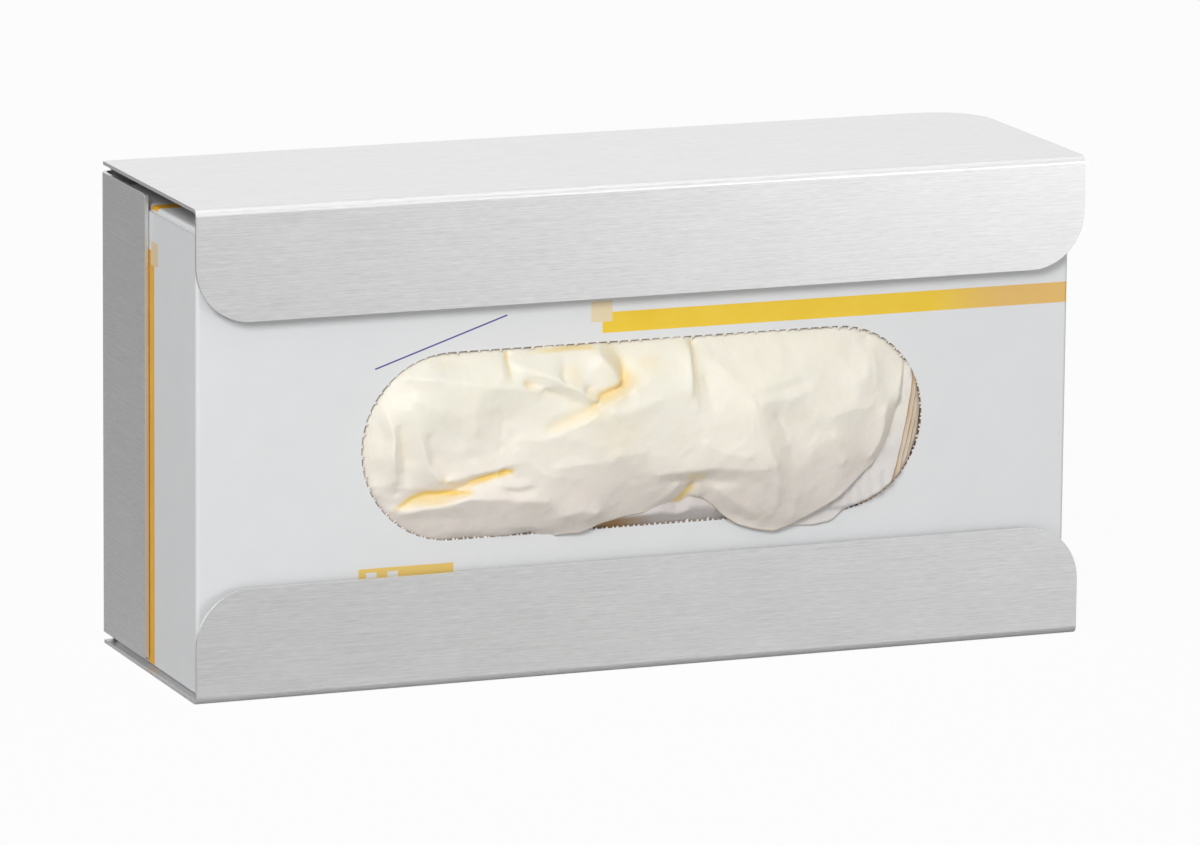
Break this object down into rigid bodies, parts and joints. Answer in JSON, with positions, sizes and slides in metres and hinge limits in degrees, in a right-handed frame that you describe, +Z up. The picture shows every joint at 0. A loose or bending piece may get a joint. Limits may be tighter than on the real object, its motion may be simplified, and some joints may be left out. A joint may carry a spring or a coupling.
{
  "type": "disposable glove dispenser",
  "caption": "Wall holder folded from brushed sheet steel, open at its side, with a carton of disposable gloves that are drawn through a round-ended window.",
  "frame": {"origin": "middle of the holder's wall face, which is also the middle of its four screw holes", "axes": "+X to the right along the front, towards the open end; +Y into the wall; +Z up"},
  "size_m": [0.249, 0.0856, 0.13],
  "materials": {
    "holder": "brushed along the length on the lips, satin on the top",
    "carton": "white coated folding board with printed colour fields",
    "gloves": "thin cream latex film, satin and slightly translucent"
  },
  "bodies": {
    "root": {"holder": "holder", "glove_carton": "carton", "glove_stack": "gloves", "top_glove": "gloves", "left_glove": "gloves", "right_glove": "gloves", "lower_glove": "gloves"}
  },
  "joints": []
}
